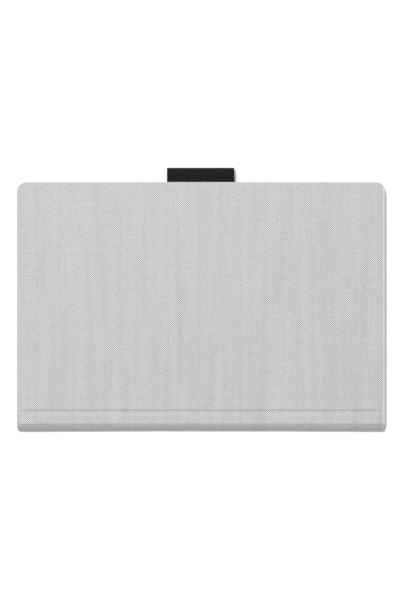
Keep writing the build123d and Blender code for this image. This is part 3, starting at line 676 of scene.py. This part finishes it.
def pen_loop():
    """The band as a closed mesh with cross ribs and rounded selvedges."""
    half = loop_high.x + LOOP_SPREAD
    table = path_table(loop_line())
    points, uvs, faces = [], [], []
    edge = [(0.0, 0.0), (0.06, 0.24), (0.2, 0.4), (0.45, 0.48), (1.2, 0.5)]
    flat = half - edge[-1][0]
    middle = [(-flat + 2 * flat * i / 8, 0.5) for i in range(1, 8)]
    upper = [(-half + a, b) for a, b in edge] + middle + [(half - a, b) for a, b in edge[::-1]]
    section = upper + [(x, -b) for x, b in upper[::-1]][1:-1]
    for s, point, out in table:
        rib = RIB_HEIGHT * abs(math.sin(math.pi * s / RIB_PITCH)) ** 0.7
        for x, share in section:
            thick = BAND * share
            if abs(share) > 0.3:
                thick -= math.copysign((RIB_HEIGHT - rib) * min(1.0, abs(share) * 2), share)
            wave = 0.05 * noise.noise(Vector((x * 0.2, s * 0.3, 1.7)))
            at = point + out * (thick + wave)
            fray = FRAY * math.sin(s * FRAY_TURN) if abs(x) > half - FRAY_WIDTH else 0.0
            points.append(Vector((x + LOOP_SHIFT + fray, at.x, at.y)) * MM)
            uvs.append((x * MM, s * MM))
    count = len(section)
    for i in range(len(table) - 1):
        for k in range(count):
            a, b = i * count + k, i * count + (k + 1) % count
            faces.append((a, b, b + count, a + count))
    faces.append(tuple(range(count)))
    faces.append(tuple(range(len(points) - count, len(points)))[::-1])
    return mesh_object("pen_loop_elastic", points, faces, uvs)


elastic_loop = pen_loop()
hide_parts("pen_loop")
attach(elastic_loop, "keyboard_half")
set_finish(elastic_loop, "elastic")

# ---------------------------------------------------------------------------------------
# Key legends: plain letters, digits and key names on the caps
# ---------------------------------------------------------------------------------------
LEGENDS = {
    "function_row_keys": ["esc"] + [f"F{n}" for n in range(1, 13)] + ["ins", "del"],
    "number_row_keys": list("`1234567890-="),
    "backspace_key": ["back"],
    "tab_key": ["tab"],
    "upper_letter_keys": list("QWERTYUIOP[]\\"),
    "caps_lock_key": ["caps"],
    "home_row_keys": list("ASDFGHJKL;'"),
    "enter_key": ["enter"],
    "left_shift_key": ["shift"],
    "lower_letter_keys": list("ZXCVBNM,./"),
    "right_shift_key": ["shift"],
    "left_modifier_keys": ["ctrl", "fn", "cmd", "alt"],
    "right_modifier_keys": ["alt", "ctrl"],
    "left_arrow_key": ["<"],
    "down_arrow_key": ["v"],
    "up_arrow_key": ["^"],
    "right_arrow_key": [">"],
}


def islands(node):
    """(lowest, highest) corner of each separate piece of a CAD node, in millimetres, sorted by x."""
    mesh = frame["nodes"][node].data
    root = list(range(len(mesh.vertices)))

    def find(i):
        while root[i] != i:
            root[i] = root[root[i]]
            i = root[i]
        return i

    seen = {}
    for vertex in mesh.vertices:
        key = tuple(round(c / MM, 3) for c in vertex.co)
        root[vertex.index] = find(seen.setdefault(key, vertex.index))
    for edge in mesh.edges:
        root[find(edge.vertices[0])] = find(edge.vertices[1])
    groups = {}
    for vertex in mesh.vertices:
        groups.setdefault(find(vertex.index), []).append(vertex.co / MM)
    boxes = []
    for group in groups.values():
        low = Vector(min(p[k] for p in group) for k in range(3))
        high = Vector(max(p[k] for p in group) for k in range(3))
        boxes.append((low, high))
    return sorted(boxes, key=lambda pair: pair[0].x)


def legend_mesh(text, size):
    """The flat outline mesh of a short text, centred on the origin."""
    curve = bpy.data.curves.new("legend", "FONT")
    curve.body = text
    curve.size = size
    curve.align_x = "CENTER"
    curve.align_y = "CENTER"
    curve.resolution_u = 3
    curve.extrude = INK
    holder = bpy.data.objects.new("legend", curve)
    bpy.context.scene.collection.objects.link(holder)
    bpy.context.view_layer.update()
    mesh = bpy.data.meshes.new_from_object(holder)
    bpy.data.objects.remove(holder)
    bpy.data.curves.remove(curve)
    return mesh


LETTER_SIZE, WORD_SIZE, SHORT_KEY_SIZE = 4.6, 2.9, 2.7
SHORT_KEY = 10.0
INK, INK_LIFT = 0.004, 0.012
for node, words in LEGENDS.items():
    marks = []
    for word, (low, high) in zip(words, islands(node)):
        size = LETTER_SIZE if len(word) == 1 else WORD_SIZE
        if high.y - low.y < SHORT_KEY:
            size = min(size, SHORT_KEY_SIZE)
        mesh = legend_mesh(word, size)
        at = ((low.x + high.x) / 2, (low.y + high.y) / 2, low.z - INK_LIFT)
        mesh.transform(Matrix.Scale(MM, 4) @ Matrix.Translation(at) @ Matrix.Rotation(math.pi, 4, "X"))
        mark = bpy.data.objects.new("mark", mesh)
        bpy.context.scene.collection.objects.link(mark)
        marks.append(mark)
    legend = joined(node + "_legends", marks)
    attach(legend, node)
    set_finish(legend, "keycap")

# ---------------------------------------------------------------------------------------
# Materials
# ---------------------------------------------------------------------------------------
class Finish:
    """A node material with short calls for the nodes that the finishes below share."""

    def __init__(self, name, **values):
        self.material = bpy.data.materials.new(name)
        self.material.use_nodes = True
        self.tree = self.material.node_tree
        self.surface = self.tree.nodes["Principled BSDF"]
        coordinates = self.tree.nodes.new("ShaderNodeTexCoord")
        self.object = coordinates.outputs["Object"]
        self.uv = coordinates.outputs["UV"]
        for key, value in values.items():
            self.surface.inputs[key.replace("_", " ")].default_value = value

    def node(self, kind, inputs=(), **settings):
        made = self.tree.nodes.new("ShaderNode" + kind)
        for key, value in settings.items():
            setattr(made, key, value)
        for key, value in dict(inputs).items():
            self.put(value, made.inputs[key])
        return made

    def put(self, value, socket):
        if isinstance(value, bpy.types.NodeSocket):
            self.tree.links.new(value, socket)
        else:
            socket.default_value = value

    def math(self, operation, a, b=0.0, c=0.0):
        return self.node("Math", {0: a, 1: b, 2: c}, operation=operation).outputs[0]

    def noise(self, place, scale, detail=2.0, stretch=(1, 1, 1), rough=0.5):
        mapping = self.node("Mapping", {"Vector": place, "Scale": stretch})
        values = {"Vector": mapping.outputs[0], "Scale": scale, "Detail": detail, "Roughness": rough}
        return self.node("TexNoise", values).outputs["Fac"]

    def random(self, dimensions, **inputs):
        return self.node("TexWhiteNoise", inputs, noise_dimensions=dimensions).outputs[0]

    def waves(self, value, pitch):
        """0 at every multiple of the pitch and 1 halfway between."""
        return self.math("ABSOLUTE", self.math("SINE", self.math("MULTIPLY", value, math.pi / pitch)))

    def ramp(self, value, low, high, to_low=0.0, to_high=1.0):
        values = {"Value": value, "From Min": low, "From Max": high, "To Min": to_low, "To Max": to_high}
        return self.node("MapRange", values).outputs[0]

    def mix(self, share, a, b):
        a, b = ((*c, 1) if isinstance(c, tuple) else c for c in (a, b))
        return self.node("Mix", {0: share, 6: a, 7: b}, data_type="RGBA").outputs[2]

    def bump(self, height, distance, strength=1.0):
        normal = self.surface.inputs["Normal"].links
        made = self.node("Bump", {"Height": height, "Distance": distance, "Strength": strength})
        if normal:
            self.tree.links.new(normal[0].from_socket, made.inputs["Normal"])
        self.put(made.outputs[0], self.surface.inputs["Normal"])

    def color(self, value):
        self.put(value, self.surface.inputs["Base Color"])

    def roughness(self, value):
        self.put(value, self.surface.inputs["Roughness"])


WARP_PITCH, WEFT_PITCH = 0.8 * MM, 0.733 * MM
# Painted highlight: a band from 2.0 to 0.9 mm inside the cloth's +x edge is mixed towards the light yarn
# tone.
# Painted shade: the last 0.7 mm of the cloth at its +x edge is mixed towards the dark yarn tone.
EDGE_HIGHLIGHT_SHARE, EDGE_SHADE_SHARE = 0.4, 0.3
EDGE_HIGHLIGHT_FROM, EDGE_HIGHLIGHT_TO, EDGE_SHADE_WIDTH = 2.0, 0.9, 0.7
# Painted shade: the cloth is mixed towards the dark tone near the spine's ridge, fully within 1.5 mm and
# fading out by 9.5 mm.
RIDGE_SHADE = 0.16
RIDGE_SHADE_FROM, RIDGE_SHADE_TO = 1.5 * MM, 9.5 * MM


def weave(name, light, dark, depth, streak=0.3, **values):
    """Plain weave in UV space: warp along v, weft along u, with uneven yarns and long streaks."""
    cloth = Finish(name, Roughness=0.85, Sheen_Weight=0.12, Sheen_Roughness=0.5, **values)
    split = cloth.node("SeparateXYZ", {0: cloth.uv})
    u = cloth.math("DIVIDE", split.outputs[0], WARP_PITCH)
    v = cloth.math("DIVIDE", split.outputs[1], WEFT_PITCH)
    wander = cloth.noise(cloth.uv, 75.0, 1.0, (1.0, 0.8, 1.0))
    sway = cloth.noise(cloth.uv, 48.0, 1.0, (1.3, 0.5, 1.0))
    u = cloth.math("ADD", u, cloth.ramp(sway, 0.3, 0.7, -0.22, 0.22))
    v = cloth.math("ADD", v, cloth.ramp(wander, 0.3, 0.7, -0.35, 0.35))
    column, row = cloth.math("FLOOR", u), cloth.math("FLOOR", v)
    parity = cloth.math("FLOORED_MODULO", cloth.math("ADD", column, row), 2.0)
    over = cloth.math("GREATER_THAN", parity, 0.5)
    across, along = cloth.waves(u, 1.0), cloth.waves(v, 1.0)
    warp = cloth.math("MULTIPLY", cloth.math("POWER", across, 0.55), cloth.math("POWER", along, 0.8))
    weft = cloth.math("MULTIPLY", cloth.math("POWER", along, 0.55), cloth.math("POWER", across, 0.8))
    height = cloth.node("Mix", {0: over, 2: weft, 3: warp}).outputs[0]
    column_tone = cloth.random("1D", W=column)
    row_tone = cloth.random("1D", W=cloth.math("ADD", row, 0.37))
    cell_tone = cloth.random("2D", Vector=cloth.node("CombineXYZ", {0: column, 1: row}).outputs[0])
    yarn_tone = cloth.node("Mix", {0: over, 2: row_tone, 3: column_tone}).outputs[0]
    streaks = cloth.noise(cloth.uv, 150.0, 3.0, (1.0, 0.06, 1.0), 0.6)
    patches = cloth.noise(cloth.uv, 40.0, 2.0)
    fibres = cloth.noise(cloth.uv, 3000.0, 2.0)
    tone = cloth.node("Mix", {0: over, 2: 0.04, 3: 0.97}).outputs[0]
    for part, amount in ((yarn_tone, 0.07), (cell_tone, 0.07), (fibres, 0.08), (patches, 0.05)):
        tone = cloth.math("MULTIPLY_ADD", cloth.math("SUBTRACT", part, 0.5), amount, tone)
    tone = cloth.math("MULTIPLY_ADD", cloth.math("SUBTRACT", streaks, 0.5), streak, tone)
    # Painted shade: the tone darkens where the weave is low, between the yarns.
    tone = cloth.math("MULTIPLY_ADD", cloth.math("SUBTRACT", height, 0.6), 0.3, tone)
    body = cloth.mix(cloth.math("MINIMUM", cloth.math("MAXIMUM", tone, 0.0), 1.0), dark, light)
    # Painted highlight: a lighter band along the +x edge of the cloth.
    rim = cloth.math("MULTIPLY", cloth.math("GREATER_THAN", split.outputs[0], (HALF - EDGE_HIGHLIGHT_FROM) * MM),
                     cloth.math("LESS_THAN", split.outputs[0], (HALF - EDGE_HIGHLIGHT_TO) * MM))
    body = cloth.mix(cloth.math("MULTIPLY", rim, EDGE_HIGHLIGHT_SHARE), body, light)
    # Painted shade: a dark strip along the cloth's +x edge.
    edge_shade = cloth.math("GREATER_THAN", split.outputs[0], (HALF - EDGE_SHADE_WIDTH) * MM)
    body = cloth.mix(cloth.math("MULTIPLY", edge_shade, EDGE_SHADE_SHARE), body, dark)
    # Painted shade on the spine band, darkest at the ridge.
    from_ridge = cloth.math("ABSOLUTE", cloth.math("SUBTRACT", split.outputs[1], S_RIDGE * MM))
    ridge_shade = cloth.ramp(from_ridge, RIDGE_SHADE_FROM, RIDGE_SHADE_TO, RIDGE_SHADE, 0.0)
    cloth.color(cloth.mix(ridge_shade, body, dark))
    fuzz = cloth.math("MULTIPLY_ADD", fibres, 0.3, height)
    cloth.bump(fuzz, depth)
    return cloth.material


def plastic(name, tone, rough, grain, depth, wear=0.05, **values):
    """Moulded plastic with a fine spark texture and slow changes of tone and gloss."""
    part = Finish(name, **values)
    slow = part.noise(part.object, 28.0, 3.0)
    fine = part.noise(part.object, grain, 2.0)
    light = tuple(min(1.0, c * 1.25 + 0.01) for c in tone)
    blend = part.math("MULTIPLY_ADD", fine, 0.5, slow)
    part.color(part.mix(part.ramp(blend, 0.45, 1.05), tone, light))
    part.roughness(part.ramp(slow, 0.3, 0.7, rough - wear, rough + wear))
    part.bump(fine, depth)
    return part.material


def metal(name, tone, rough, stretch, scale=900.0, depth=0.01, **values):
    """Metal with fine lines along one direction and faint stains."""
    part = Finish(name, Metallic=1.0, **values)
    lines = part.noise(part.object, scale, 3.0, stretch, 0.65)
    stains = part.noise(part.object, 45.0, 3.0)
    dim = tuple(c * 0.78 for c in tone)
    blend = part.math("MULTIPLY_ADD", stains, 0.4, lines)
    part.color(part.mix(part.ramp(blend, 0.5, 0.95), dim, tone))
    part.roughness(part.ramp(part.math("ADD", lines, stains), 0.7, 1.3, rough - 0.07, rough + 0.1))
    part.bump(lines, depth * MM)
    return part.material


def suede(name, tone):
    """Brushed microfibre: soft nap in patches and short fibres."""
    part = Finish(name, Roughness=0.92, Sheen_Weight=0.45, Sheen_Roughness=0.4)
    nap = part.noise(part.uv, 60.0, 4.0, (1.0, 0.5, 1.0), 0.6)
    fibre = part.noise(part.uv, 2600.0, 3.0, (1.0, 0.4, 1.0), 0.7)
    light = tuple(c * 1.5 for c in tone)
    part.color(part.mix(part.ramp(part.math("MULTIPLY_ADD", fibre, 0.7, nap), 0.55, 1.15), tone, light))
    part.bump(fibre, 0.12 * MM)
    part.bump(nap, 0.2 * MM, 0.5)
    return part.material


def elastic(name):
    """Woven elastic: fine cords across the ribs of the mesh, with a slight sheen."""
    part = Finish(name, Roughness=0.7, Specular_IOR_Level=0.1, Sheen_Weight=0.02, Sheen_Roughness=0.45)
    split = part.node("SeparateXYZ", {0: part.uv})
    cords = part.waves(split.outputs[0], 0.55 * MM)
    threads = part.waves(split.outputs[1], 0.27 * MM)
    grain = part.noise(part.uv, 1500.0, 2.0)
    streaks = part.noise(part.uv, 900.0, 2.0, (0.02, 1.0, 1.0))
    tone = part.math("MULTIPLY_ADD", grain, 0.35, part.math("MULTIPLY", streaks, 0.5))
    tone = part.math("MULTIPLY_ADD", cords, 0.25, tone)
    part.color(part.mix(part.ramp(tone, 0.3, 0.8), (0.0025, 0.0025, 0.0026), (0.010, 0.010, 0.0103)))
    part.bump(part.math("MULTIPLY", cords, threads), 0.07 * MM)
    return part.material


def circuit_board(name):
    """Solder mask with traces and pads."""
    part = Finish(name, Roughness=0.35, Coat_Weight=0.3)
    bricks = part.node("TexBrick", {"Vector": part.object, "Scale": 320.0, "Mortar Size": 0.012,
                                    "Color1": (0.010, 0.070, 0.030, 1), "Color2": (0.014, 0.085, 0.036, 1),
                                    "Mortar": (0.05, 0.16, 0.07, 1)})
    cells = part.node("TexVoronoi", {"Vector": part.object, "Scale": 420.0}, distance="CHEBYCHEV")
    pad = part.math("LESS_THAN", cells.outputs["Distance"], 0.16)
    part.color(part.mix(pad, bricks.outputs["Color"], (0.75, 0.62, 0.30)))
    part.bump(bricks.outputs["Fac"], 0.03 * MM)
    return part.material


def film(name, tone, trace):
    """Printed film: pale sheet with branching conductive lines."""
    part = Finish(name, Roughness=0.4, Coat_Weight=0.2)
    lines = part.node("TexVoronoi", {"Vector": part.object, "Scale": 110.0}, feature="DISTANCE_TO_EDGE")
    mark = part.math("LESS_THAN", lines.outputs["Distance"], 0.05)
    haze = part.noise(part.object, 60.0, 3.0)
    base = part.mix(haze, tone, tuple(c * 0.8 for c in tone))
    part.color(part.mix(mark, base, trace))
    part.bump(mark, 0.02 * MM)
    return part.material


def foil(name, tone):
    """Battery wrap with soft creases."""
    part = Finish(name, Metallic=0.75, Roughness=0.33)
    folds = part.noise(part.object, 90.0, 5.0, rough=0.7)
    part.color(part.mix(folds, tone, tuple(c * 0.7 for c in tone)))
    part.bump(folds, 0.4 * MM)
    return part.material


FABRIC_LIGHT, FABRIC_DARK = (0.72, 0.72, 0.72), (0.17, 0.17, 0.17)
MATERIALS = {
    "outer_fabric": weave("woven_cover", FABRIC_LIGHT, FABRIC_DARK, 0.10 * MM),
    "lining": suede("suede_lining", (0.085, 0.086, 0.09)),
    "elastic": elastic("ribbed_elastic"),
    "shell_plastic": plastic("spark_plastic", (0.017, 0.017, 0.018), 0.48, 2200.0, 0.035 * MM),
    "trim_plastic": plastic("trim_plastic", (0.012, 0.012, 0.013), 0.3, 1200.0, 0.01 * MM),
    "stiffener": plastic("fibre_board", (0.16, 0.15, 0.14), 0.8, 1500.0, 0.06 * MM),
    "keycap": plastic("keycap_plastic", (0.014, 0.014, 0.0155), 0.42, 2600.0, 0.02 * MM, Coat_Weight=0.06),
    "touchpad_surface": plastic("touchpad_glass", (0.02, 0.02, 0.022), 0.26, 3000.0, 0.006 * MM,
                                Coat_Weight=0.25),
    "aluminium_plate": metal("brushed_aluminium", (0.72, 0.72, 0.73), 0.36, (0.03, 1.0, 1.0)),
    "hinge_steel": metal("hinge_steel", (0.58, 0.58, 0.6), 0.28, (1.0, 0.06, 0.06)),
    "screw_steel": metal("screw_steel", (0.42, 0.42, 0.44), 0.3, (1.0, 1.0, 0.1), 1400.0),
    "magnet": metal("nickel_magnet", (0.66, 0.65, 0.62), 0.22, (1.0, 1.0, 1.0), 300.0),
    "rubber": plastic("rubber", (0.022, 0.022, 0.023), 0.75, 1700.0, 0.05 * MM),
    "membrane_film": film("membrane_film", (0.46, 0.48, 0.5), (0.12, 0.12, 0.13)),
    "silicone": plastic("silicone", (0.5, 0.51, 0.53), 0.45, 500.0, 0.02 * MM, Subsurface_Weight=0.15),
    "link_plastic": plastic("link_plastic", (0.55, 0.55, 0.54), 0.4, 1300.0, 0.02 * MM),
    "circuit_board": circuit_board("circuit_board"),
    "battery_foil": foil("battery_foil", (0.5, 0.5, 0.52)),
    "light_pipe": plastic("light_pipe", (0.75, 0.77, 0.78), 0.2, 800.0, 0.005 * MM,
                          Transmission_Weight=0.5),
    "legend": plastic("legend_ink", (0.62, 0.63, 0.64), 0.5, 2400.0, 0.004 * MM),
}


def slot_of(node):
    """The record's material slot for a CAD node."""
    return next(part["material_slot"] for part in frame["record"]["subparts"] if part["node"] == node)


def dress(obj, key):
    """Gives an object one material in place of any it had."""
    obj.data.materials.clear()
    obj.data.materials.append(MATERIALS[key])
    for face in obj.data.polygons:
        face.material_index = 0


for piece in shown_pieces():
    if "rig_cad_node" in piece:
        dress(piece, slot_of(piece["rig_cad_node"]))
    elif piece.name.endswith("_legends"):
        dress(piece, "legend")
    else:
        dress(piece, piece["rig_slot"])

# ---------------------------------------------------------------------------------------
# Stage: pale floor, soft light and the camera above
# ---------------------------------------------------------------------------------------
floor_mesh = bpy.data.meshes.new("floor")
FLOOR_HALF = 12.0
floor_corners = [(x * FLOOR_HALF, y * FLOOR_HALF, 0) for x, y in ((-1, -1), (1, -1), (1, 1), (-1, 1))]
floor_mesh.from_pydata(floor_corners, [], [(0, 1, 2, 3)])
floor = bpy.data.objects.new("floor", floor_mesh)
bpy.context.scene.collection.objects.link(floor)
paper = Finish("paper", Roughness=0.95)
paper_tone = paper.noise(paper.object, 6.0, 2.0)
paper.color(paper.mix(paper_tone, (0.86, 0.86, 0.86), (0.84, 0.84, 0.84)))
floor_mesh.materials.append(paper.material)
floor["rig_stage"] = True


def probe(body, at):
    """An empty riding a body at a point in metres, so that the floor can follow it."""
    marker = bpy.data.objects.new(f"probe_{body}", None)
    bpy.context.scene.collection.objects.link(marker)
    marker.location = at
    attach(marker, body)
    return marker


def lower_with(obj, markers):
    """Keeps an object's z at the lowest marker, and never above its own place."""
    driver = obj.driver_add("location", 2).driver
    driver.type = "SCRIPTED"
    names = []
    for number, marker in enumerate(markers):
        variable = driver.variables.new()
        variable.name = f"z{number}"
        variable.type = "TRANSFORMS"
        variable.targets[0].id = marker
        variable.targets[0].transform_type = "LOC_Z"
        variable.targets[0].transform_space = "WORLD_SPACE"
        names.append(variable.name)
    expression = "0"
    for name in names:
        expression = f"min({expression},{name})"
    driver.expression = expression


plate_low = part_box("kickstand_fabric")[0]
deck_low, deck_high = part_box("keyboard_fabric")
spine_low, spine_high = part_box("spine_upper_fabric")
under = [
    probe("kickstand", plate_low),
    probe("spine_upper", (0, spine_low.y, spine_high.z)),
    probe("hinge_strip", (0, deck_low.y, deck_high.z)),
]
for y in (deck_low.y, deck_high.y):
    under += [probe("keyboard_half", (0, y, z)) for z in (deck_low.z, deck_high.z)]
lower_with(floor, under)

world = bpy.data.worlds.new("world")
bpy.context.scene.world = world
world.use_nodes = True
tree = world.node_tree
background = tree.nodes["Background"]
background.inputs["Color"].default_value = (1, 1, 1, 1)
DOME, SEEN = 0.66, 1.1
path = tree.nodes.new("ShaderNodeLightPath")
strength = tree.nodes.new("ShaderNodeMapRange")
strength.inputs["To Min"].default_value = DOME
strength.inputs["To Max"].default_value = SEEN
tree.links.new(path.outputs["Is Camera Ray"], strength.inputs["Value"])
tree.links.new(strength.outputs[0], background.inputs["Strength"])


def receivers(light, name, state):
    """Limits a light to the floor, or keeps it off the floor."""
    group = bpy.data.collections.new(name)
    group.objects.link(floor)
    light.light_linking.receiver_collection = group
    group.collection_objects[0].light_linking.link_state = state


def add_light(name, kind, place, **values):
    """A light at a place, aimed at the origin."""
    data = bpy.data.lights.new(name, kind)
    for key, value in values.items():
        setattr(data, key, value)
    light = bpy.data.objects.new(name, data)
    bpy.context.scene.collection.objects.link(light)
    light.location = place
    light.rotation_mode = "QUATERNION"
    light.rotation_quaternion = (-Vector(place)).to_track_quat("-Z", "Y")
    light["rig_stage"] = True
    return light


softbox = add_light("softbox", "AREA", (-0.42, 1.05, 1.95), shape="DISK", size=0.95, energy=42.0)
receivers(softbox, "softbox_receivers", "EXCLUDE")
ceiling = add_light("ceiling", "SUN", (-0.25, 0.36, 2.6), angle=math.radians(7), energy=2.6)
receivers(ceiling, "ceiling_receivers", "INCLUDE")

CAMERA_PLACE = (-0.0006, 0.0052, 3.0)
LENS = 223.3
camera_data = bpy.data.cameras.new("camera")
camera_data.sensor_width = 36.0
camera_data.lens = LENS
camera = bpy.data.objects.new("camera", camera_data)
bpy.context.scene.collection.objects.link(camera)
camera.location = CAMERA_PLACE
camera_data.clip_start, camera_data.clip_end = 0.1, 50.0
bpy.context.scene.camera = camera
bpy.context.scene.view_settings.view_transform = "Standard"

save_size("visual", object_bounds(), sizes)
